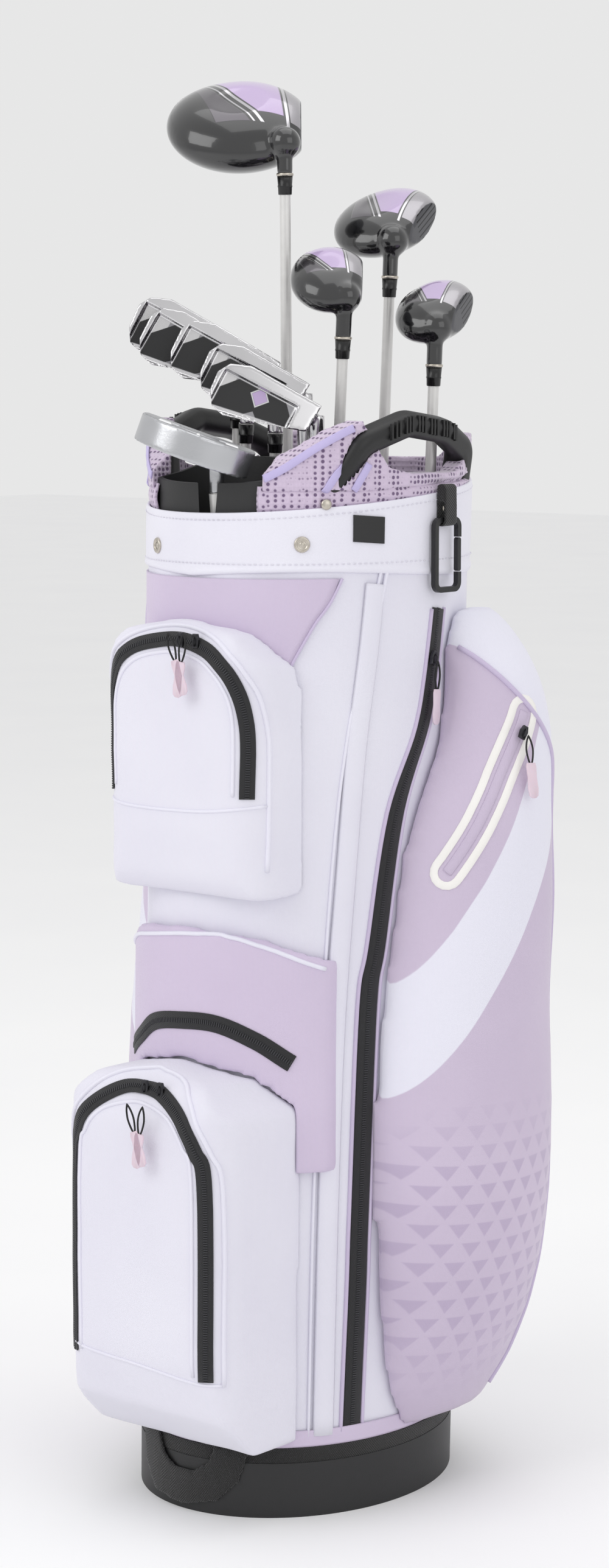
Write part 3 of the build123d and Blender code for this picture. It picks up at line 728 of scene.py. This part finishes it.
def side_finish(name):
    made = Finish(name, Sheen_Weight=0.25, Sheen_Roughness=0.4, Specular_IOR_Level=0.35)
    y, z = made.y, made.z
    patches = made.speckle(9.0, 3.0)
    threads = ((made.x + y) * 5200).sine() * (z * 6400).sine()
    upper_edge = z - (y * 1.66 + 0.4845)
    lower_edge = z - (y * 1.43 + 0.3985)
    band = (1 - upper_edge.step(0, 0.0012)) * lower_edge.step(0, 0.0012)
    lilac = made.mix(patches, srgb(198, 184, 207), srgb(212, 199, 219))
    row = (z * 62).rest()
    column = (y * 52 + (z * 62).whole() * 0.5).rest()
    triangle = (row - (column - 0.5).size() * 2).step(0.12, 0.1) * (1 - row.step(0.86, 0.06))
    fade = (1 - ((z - 0.215) / 0.13).size()).step(0.25, 0.5) * (1 - lower_edge.step(-0.03, 0.02))
    tone = made.mix(triangle * fade * 0.55, lilac, srgb(176, 160, 190))
    past = y - 0.119 + (z - 0.60).at_least(0) * 0.75
    gusset = past.step(0, 0.001) * z.step(0.50, 0.12)
    white = band.at_least(gusset)
    made.feed(Base_Color=made.mix(white, tone, srgb(232, 231, 243)), Roughness=0.58 + patches * 0.12)
    return made.bump(threads * 0.1 + made.speckle(22.0, 3.0) * 0.9 + band * 0.25, 0.0011, 0.5)


side_skin = side_finish("side_pocket_cloth")
welded = Finish("welded_outline", Roughness=0.45)
welded.feed(Base_Color=welded.mix(welded.speckle(40.0), srgb(236, 233, 230), srgb(246, 244, 240)))
SIDE_ZIP = [(33, 729), (24, 677), (13, 635), (-17, 569), (-36, 462), (-44, 413), (-51, 243), (-53, 181),
            (-58, 67)]
tube_tree = skin_tree(tube)
GUSSET = [(34, 719), (48, 694), (66, 668), (86, 642), (106, 613), (115, 590), (119, 560), (121, 480),
          (121, 380), (120, 260), (114, 160), (104, 104), (92, 76)]
ACCESSORY = [(-3, 522), (8, 542), (24, 568), (40, 592), (56, 615), (68, 633), (75, 646)]


def outline_round(tree, path, normals, half):
    """Closed line at one distance from a run on a sewn shape, round at both ends."""
    ways = [(path[min(i + 1, len(path) - 1)] - path[max(i - 1, 0)]).normalized() for i in range(len(path))]
    sides = [way.cross(out).normalized() for way, out in zip(ways, normals)]
    loop = [p + s * half for p, s in zip(path, sides)]
    loop += [path[-1] + sides[-1] * half * math.cos(t) + ways[-1] * half * math.sin(t)
             for t in (math.pi * k / 8 for k in range(1, 8))]
    loop += [p - s * half for p, s in zip(reversed(path), reversed(sides))]
    loop += [path[0] - sides[0] * half * math.cos(t) - ways[0] * half * math.sin(t)
             for t in (math.pi * k / 8 for k in range(1, 8))]
    near = [tree.find_nearest(p) for p in loop]
    return [hit[0] for hit in near], [hit[1] for hit in near]


for side, label in ((1, "right"), (-1, "left")):
    pocket = soft_copy(f"side_pocket_{label}_soft", f"side_pocket_{label}", side_skin, 0.006,
                       4, 0.0018, 9.0, 11.0 * side)
    pocket_tree = skin_tree(pocket)
    path, out = drape(pocket_tree, GUSSET, side, 0.0004)
    sweep(f"gusset_piping_{label}", path, out, round_section(0.0021), lilac_piping)
    path, out = drape(tube_tree, SIDE_ZIP, side, 0.0002)
    zip_run(f"side_zip_{label}", path, out, 0.016, "side_zips" if side > 0 else None)
    for shift, tag in ((-9.4, "front"), (9.4, "rear")):
        path, out = drape(tube_tree, [(y + shift, z) for y, z in SIDE_ZIP], side, 0.0006)
        sweep(f"side_zip_piping_{tag}_{label}", path, out, round_section(0.0017), lilac_piping)
    if side > 0:
        path, out = drape(pocket_tree, ACCESSORY, 1, 0.0)
        loop, loop_out = outline_round(pocket_tree, path, out, 0.0105)
        sweep("accessory_outline", loop, loop_out, band_section(0.0066, 0.0009), welded,
              closed=True)
        sweep("accessory_zip_flap", path, out, band_section(0.0078, 0.0010), side_cloth)
        sweep("accessory_zip_lip", path, out, round_section(0.0011, 6), lilac_piping)

# Pulls and sliders: a die-cast slider with a ring runs on each zip. From it hangs a loop of thin
# black cord with a soft pale rubber tab to take hold of.
slider_metal = Finish("slider_metal", Metallic=0.85)
slider_wear = slider_metal.speckle(260.0)
slider_metal.feed(Base_Color=slider_metal.mix(slider_wear, srgb(34, 34, 36), srgb(74, 74, 78)),
                  Roughness=0.3 + slider_wear * 0.15)
tab_rubber = Finish("tab_rubber", Subsurface_Weight=0.08, Specular_IOR_Level=0.4)
tab_patch = tab_rubber.speckle(60.0)
tab_rubber.feed(Base_Color=tab_rubber.mix(tab_patch, srgb(219, 196, 210), srgb(232, 213, 224)),
                Roughness=0.5 + tab_patch * 0.1)
tab_rubber.bump(tab_rubber.speckle(700.0), 0.0003, 0.3)
pull_cord = moulded("pull_cord", srgb(20, 20, 21), 0.6, 1500.0)
HALF_TAB = [(0.0040, 0.000), (0.0048, -0.003), (0.0043, -0.012), (0.0050, -0.021), (0.0042, -0.0265),
            (0.0018, -0.0285)]
TAB = [(-0.0040, 0.000)] + HALF_TAB + [(-a, b) for a, b in reversed(HALF_TAB[1:])]
CORD_DROP = 0.022
CORD_ROUTE = [(0.0, -0.001), (0.0022, 0.004), (0.0032, 0.011), (0.0018, 0.019), (0.0, CORD_DROP),
              (-0.0018, 0.019), (-0.0032, 0.011), (-0.0022, 0.004), (0.0, -0.001)]
UP = Vector((0, 0, 1))


def layer_faces(levels, count):
    """Walls between stacked outlines of the same count of points, closed at both ends."""
    top = (levels - 1) * count
    walls = [(low + k, low + (k + 1) % count, low + count + (k + 1) % count, low + count + k)
             for low in range(0, top, count) for k in range(count)]
    return walls + [tuple(range(count)), tuple(range(top, top + count))]


def pull(name, eye, out, side, body, node=None, lean=0.0):
    """Cord loop and tab hanging from eye; out points away from the bag, side across it."""
    down = (side * lean - UP + out * UP.dot(out)).normalized()
    side = down.cross(out).normalized()
    loop = [eye + side * a + down * b for a, b in smooth_line(CORD_ROUTE, 5)[:-1]]
    cord = sweep(name + "_cord", loop, [out] * len(loop), round_section(0.0008, 6), pull_cord, body,
                 closed=True)
    top = eye + down * (CORD_DROP - 0.001)
    layers = []
    for lift, shrink in ((-0.0009, 0.86), (-0.0005, 1.0), (0.0005, 1.0), (0.0009, 0.86)):
        layers.append([top + side * a * shrink - down * (b * (0.97 + 0.03 * shrink)) + out * lift
                       for a, b in TAB])
    tab = piece(name + "_tab", [v for layer in layers for v in layer], layer_faces(len(layers), len(TAB)),
                tab_rubber, body)
    if node:
        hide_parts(node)


SLIDER = [(-0.0022, -0.0055), (0.0022, -0.0055), (0.0036, -0.001), (0.0030, 0.0055), (-0.0030, 0.0055),
          (-0.0036, -0.001)]
RING_TURNS = [2 * math.pi * k / 20 for k in range(20)]


def slider(name, at, out, down, body, node=None):
    """Slider body with a ring over it, standing on the tape."""
    side = down.cross(out).normalized()
    verts = []
    for lift, shrink in ((0.0, 0.9), (0.0005, 1.0), (0.0026, 1.0), (0.0032, 0.8)):
        verts += [at + side * a * shrink + down * b * shrink + out * lift for a, b in SLIDER]
    made = piece(name, verts, layer_faces(4, len(SLIDER)), slider_metal, body, smooth=False)
    ring = [at + out * (0.0034 + 0.0016 * math.sin(t)) + down * (0.0006 + 0.0032 * math.cos(t))
            for t in RING_TURNS]
    sweep(name + "_ring", ring, [side] * len(ring), round_section(0.0006, 6), slider_metal, body,
          closed=True)
    if node:
        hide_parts(node)


FRONT, ACROSS, DOWN = Vector((0, -1, 0)), Vector((1, 0, 0)), Vector((0, 0, -1))
for name, tree, xs, z in (("upper", upper_tree, (10, 26), 709), ("ball", ball_tree, (4, 20), 357)):
    pulls = f"{name}_pulls"
    for number, x in enumerate(xs):
        at = drape(tree, [(x, z), (x, z)], "front", 0.0018, 1)[0][0]
        slider(f"{name}_slider_{number + 1}", at, FRONT, DOWN, "bag")
        low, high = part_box(pulls)
        eye = Vector((x * MM, (low.y + high.y) / 2, high.z - 0.002))
        pull(f"{name}_pull_{number + 1}", eye, FRONT, ACROSS, pulls, pulls if number == 0 else None,
             0.35 - 0.5 * number)
for tag, out, down in (("side", (1, 0.07, 0), (0, -0.24, -0.97)),
                       ("accessory", (0.93, -0.29, 0.22), (0.01, -0.55, -0.84))):
    out, down = Vector(out).normalized(), Vector(down).normalized()
    low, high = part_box(f"{tag}_slider")
    slider(f"{tag}_slider_body", (low + high) / 2 - out * 0.0022, out, down, f"{tag}_slider", f"{tag}_slider")
    low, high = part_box(f"{tag}_pull")
    eye = Vector(((low.x + high.x) / 2 if tag == "side" else low.x + 0.0015, (low.y + high.y) / 2,
                  high.z - 0.002))
    pull(f"{tag}_pull_soft", eye, out, Vector((0, 1, 0)), f"{tag}_pull", f"{tag}_pull", -0.05)

# Straps and hook: black webbing sewn into the seams at the towel loop, the grab strap and the
# shoulder strap, with a moulded snap hook and its spring gate hanging from the towel loop.
for node, cell in (("towel_loop", 0.0011), ("grab_strap", 0.002), ("shoulder_strap", 0.002)):
    soft_copy(node + "_web", node, webbing, cell, 3, 0.0004, 40.0)
hook_plastic = moulded("hook_plastic", srgb(22, 22, 23), 0.3)
refinish("carabiner", hook_plastic)
refinish("carabiner_gate", hook_plastic)

# Shafts and grips: steel tubes painted satin silver, moulded rubber grips at the butt down in the
# bag, and a tapered black ferrule above each hosel.
satin = Finish("satin_shaft", Metallic=0.35, Coat_Weight=0.2, Coat_Roughness=0.25)
satin_patch = satin.speckle(90.0, 3.0)
satin.feed(Base_Color=satin.mix(satin_patch, srgb(214, 213, 211), srgb(230, 229, 227)),
           Roughness=0.3 + satin_patch * 0.12)
grip_rubber = moulded("grip_rubber", srgb(26, 26, 27), 0.7, 1200.0)
ferrule_black = moulded("ferrule_black", srgb(16, 16, 17), 0.2, 300.0)
BUTT_Z, SHAFT_RIM_Z = 0.032, 0.830
FERRULE_L = 0.0155
CLUBS = {"driver": ((-2, -95), (-8, -85), 1124, 46), "wood_3": ((44, -88), (72, -90), 1044, 50),
         "hybrid_5": ((2, -24), (33, 5), 996, 53), "hybrid_6": ((85, -12), (109, -8), 972, 51),
         "iron_7": ((-46, -66), (-49, -52), 948, 62), "iron_8": ((-70, -34), (-43, -29), 936, 62),
         "iron_9": ((-28, -14), (-18, -5), 929, 62), "pitching_wedge": ((12, 12), (7, 20), 912, 62),
         "sand_wedge": ((20, 42), (16, 47), 895, 62), "putter": ((-60, 64), (-63, 90), 866, 44)}
RIGHT = Vector((0.766, 0.643, 0))
FORWARD = Vector((0.643, -0.766, 0))
axes = {}
for club, (butt, rim, top, drop) in CLUBS.items():
    start = (RIGHT * butt[0] + FORWARD * butt[1]) * MM + Vector((0, 0, BUTT_Z))
    rise = ((RIGHT * rim[0] + FORWARD * rim[1]) * MM + Vector((0, 0, SHAFT_RIM_Z)) - start).normalized()
    heel = start + rise * ((top * MM - BUTT_Z) / rise.z)
    axes[club] = (heel, rise)
    refinish(f"{club}_shaft", satin)
    refinish(f"{club}_grip", grip_rubber)
    if club != "putter":
        turned(f"{club}_ferrule", heel - rise * (drop * MM + FERRULE_L), rise,
               [(0, 0), (0.0053, 0), (0.0057, 0.0006), (0.0059, 0.006), (0.0062, 0.0065), (0.0062, 0.0075),
                (0.0060, 0.008), (0.0065, 0.0154), (0, 0.0154)], ferrule_black, club, 24)


def head_ways(club, toe_way, lie, back_way):
    """Heel point and the ways to the toe, to the back and out of the sole of a club head."""
    heel, rise = axes[club]
    flat = (toe_way - rise * toe_way.dot(rise)).normalized()
    lie = math.radians(lie)
    toe = flat * math.sin(lie) + rise * math.cos(lie)
    sole = rise * math.sin(lie) - flat * math.cos(lie)
    back = sole.cross(toe)
    return heel, toe, back if back.dot(back_way) > 0 else -back, sole


def reach(finish, heel, way):
    """Distance in metres from the heel along one way, as a wire."""
    return finish.x * way.x + finish.y * way.y + finish.z * way.z - heel.dot(way)


# Woods: hollow gloss black heads standing sole up, each sole with a smoke panel, silver stripes
# and a lilac wedge that narrows towards the hosel; grooves are cut in the flat face.
DRIVER_DEPTH = 112
COLLAR_RING = [(0, 0), (0.0069, 0), (0.0072, 0.0006), (0.0072, 0.0016), (0.0069, 0.0022), (0, 0.0022)]
for club, length, depth, twist, lie in (("driver", 112, 112, 0, 57), ("wood_3", 92, 80, 28, 58),
                                        ("hybrid_5", 78, 60, 0, 60), ("hybrid_6", 78, 58, 24, 60)):
    turn = math.radians(twist)
    heel, toe, back, sole = head_ways(club, RIGHT * math.sin(turn) - FORWARD * math.cos(turn), lie, -RIGHT)
    size = depth / DRIVER_DEPTH
    gloss = Finish(f"{club}_gloss", Coat_Roughness=0.04, Specular_IOR_Level=0.6)
    u, v, w = reach(gloss, heel, toe), reach(gloss, heel, back), reach(gloss, heel, sole)
    soft = 0.0006
    on_sole = w.step(-0.020 * size, 0.001) * u.step(0.004, soft)
    rear_edge = v - (u * 0.62 + 0.012 * size)
    front_edge = v - (u * 0.10 - 0.001)
    wedge = on_sole * (1 - rear_edge.step(0, soft)) * front_edge.step(0, soft) * u.step(0.016 * size, soft)
    stripes = on_sole * (((rear_edge - 0.0035 * size).size() < 0.0016 * size)
                         + ((rear_edge - 0.0105 * size).size() < 0.0009 * size)
                         + ((front_edge + 0.003 * size).size() < 0.0013 * size))
    smoke = on_sole * rear_edge.step(0.014 * size, soft) * (1 - (v - u * 0.3).step(0.056 * size, soft)) * (
        1 - u.step(0.082 * size, soft))
    plate = on_sole * (1 - front_edge.step(-0.0055 * size, soft)) * u.step(0.012 * size, soft)
    face = 1 - v.step(-0.0133, 0.0004)
    groove = face * ((w * 1400).sine() > 0.72) * u.step(0.014, soft)
    groove = groove * (1 - u.step(length * MM * 0.72, soft))
    colour = gloss.mix(smoke, srgb(17, 17, 19), srgb(96, 92, 98))
    colour = gloss.mix(plate, colour, srgb(168, 165, 170))
    colour = gloss.mix(wedge, colour, srgb(190, 168, 208))
    colour = gloss.mix(stripes, colour, srgb(206, 204, 208))
    colour = gloss.mix(face, colour, srgb(92, 92, 96))
    colour = gloss.mix(groove, colour, srgb(28, 28, 30))
    shine = smoke * 0.85 + plate * 0.9 + stripes + face * 0.8
    gloss.feed(Base_Color=colour, Metallic=shine.at_most(1), Coat_Weight=0.9 - face * 0.8,
               Roughness=0.16 + plate * 0.14 + face * 0.2 + gloss.speckle(30.0) * 0.04)
    gloss.bump(wedge * 0.6 + smoke * 0.35 + stripes * 0.9 + plate * 0.5 - groove, 0.0007, 0.7)
    head = soft_copy(f"{club}_shell", f"{club}_head", gloss, 0.0017, 10, body=club)
    for vertex in head.data.vertices:
        at = vertex.co - heel
        across, rear, up = at.dot(toe), at.dot(back), at.dot(sole)
        if up > -0.016 * size:
            dish = math.exp(-((across - 0.046 * size) / (0.034 * size)) ** 2) * math.exp(
                -((rear - 0.052 * size) / (0.026 * size)) ** 2)
            vertex.co -= sole * dish * 0.0035 * size
    rise = axes[club][1]
    turned(f"{club}_collar_ring", heel - rise * CLUBS[club][3] * MM, rise, COLLAR_RING, nickel, club)

# Irons: cast cavity-back blades in polished chrome, leaning away with their faces to the rear; the
# cavity is sunk inside a thick rim and holds a black chevron badge with a lilac diamond.
CAVITY_DEPTH = 0.0042
for club, loft, length, height in (("iron_7", 16, 84, 50), ("iron_8", 18, 84, 51), ("iron_9", 20, 80, 51),
                                   ("pitching_wedge", 24, 80, 48), ("sand_wedge", 28, 82, 45)):
    heel, toe, back, sole = head_ways(club, -RIGHT, 62, FORWARD)
    chrome = Finish(f"{club}_chrome", Coat_Weight=0.2, Coat_Roughness=0.06)
    u, v, w = reach(chrome, heel, toe), reach(chrome, heel, back), reach(chrome, heel, sole)
    long, tall = length * MM, height * MM
    inside = v.step(0.001, 0.001) * u.step(0.013, 0.0008) * (1 - u.step(long - 0.009, 0.0008))
    inside = inside * (1 - w.step(-0.0135, 0.0008)) * (w + u * 0.18).step(-tall + 0.017, 0.0008)
    aside = (u - long * 0.50).size()
    below = (w + tall * 0.30) * 0.9
    chevron = inside * (1 - (aside + below).step(0.021, 0.0006)) * (aside * 0.8 + below).step(-0.016, 0.0006)
    off_badge = aside * 1.1 + (w + tall * 0.42).size()
    diamond = inside * (1 - off_badge.step(0.0075, 0.0005))
    edge = inside * (1 - off_badge.step(0.0092, 0.0005)) - diamond
    toe_pad = inside * u.step(long * 0.78, 0.0006)
    colour = chrome.mix(chrome.speckle(16.0, 2.0), srgb(196, 195, 197), srgb(226, 225, 227))
    colour = chrome.mix(inside, colour, srgb(150, 149, 153))
    colour = chrome.mix(toe_pad, colour, srgb(206, 205, 206))
    colour = chrome.mix(chevron, colour, srgb(20, 20, 22))
    colour = chrome.mix(edge, colour, srgb(208, 208, 210))
    colour = chrome.mix(diamond, colour, srgb(188, 166, 206))
    badge = chevron.at_least(diamond)
    chrome.feed(Base_Color=colour, Metallic=1 - badge * 0.95,
                Roughness=0.12 + inside * 0.2 + toe_pad * 0.12)
    chrome.bump(badge * 0.6 + edge * 0.8, 0.0007, 0.7)
    head = soft_copy(f"{club}_blade", f"{club}_head", chrome, 0.0012, 5, body=club)
    slant = math.tan(math.radians(loft))
    for vertex, normal in zip(head.data.vertices, [v.normal.copy() for v in head.data.vertices]):
        at = vertex.co - heel
        across, out, up = at.dot(toe), at.dot(back), at.dot(sole)
        if normal.dot(back) < 0.35 or across < 0:
            continue
        wall = min(across - 0.010, long - 0.006 - across, -0.0105 - up, up + across * 0.18 + tall - 0.012)
        sink = max(0.0, min(1.0, wall / 0.0022))
        face_at = -0.005 - up * (slant + 0.05)
        room = max(0.0, out - face_at - 0.0030)
        vertex.co -= back * (sink * sink * (3 - 2 * sink)) * min(CAVITY_DEPTH, room)

# Putter: a milled half-moon mallet, sole up, with two white fang blocks at the back and a white
# sight line. The milling marks run in rings round the middle of the sole.
heel, toe, back, sole = head_ways("putter", -RIGHT, 70, FORWARD)
silver = Finish("putter_silver")
u, v, w = reach(silver, heel, toe), reach(silver, heel, back), reach(silver, heel, sole)
ahead, aside = u - 0.014, v - 0.006
milling = ((ahead * ahead + aside * aside).root() * 5200).sine()
lip = w.step(-0.0012, 0.0004)
silver.feed(Base_Color=silver.mix(silver.speckle(22.0, 2.0), srgb(176, 177, 180), srgb(204, 205, 208)),
            Metallic=0.9 - lip * 0.05, Roughness=0.27 + lip * 0.06)
silver.bump(milling * 0.25 * lip + silver.speckle(500.0) * 0.4, 0.0003, 0.5)
soft_copy("putter_mallet", "putter_head", silver, 0.0013, 5, body="putter")
white_paint = Finish("white_paint", Coat_Weight=0.3, Coat_Roughness=0.1)
paint_patch = white_paint.speckle(70.0)
white_paint.feed(Base_Color=white_paint.mix(paint_patch, srgb(238, 238, 240), srgb(250, 250, 250)),
                 Roughness=0.25 + paint_patch * 0.08)


def block(name, u0, u1, v0, v1, w0, w1, chamfer=0.0010):
    """Bevelled white block on the putter, between two distances to toe, back and sole."""
    verts = []
    for level, cut in ((w0, chamfer), (w0 + chamfer, 0), (w1 - chamfer, 0), (w1, chamfer)):
        near, far, left, right = u0 + cut, u1 - cut, v0 + cut, v1 - cut
        verts += [heel + toe * a + back * b + sole * level
                  for a, b in ((near, left), (far, left), (far, right), (near, right))]
    piece(name, verts, layer_faces(4, 4), white_paint, "putter", smooth=False)


block("putter_fang_toe", 0.036, 0.047, 0.020, 0.033, -0.0205, 0.0008)
block("putter_fang_heel", -0.019, -0.008, 0.020, 0.033, -0.0205, 0.0008)
block("putter_sight_bar", 0.0125, 0.0155, 0.034, 0.046, -0.004, 0.0008, 0.0006)
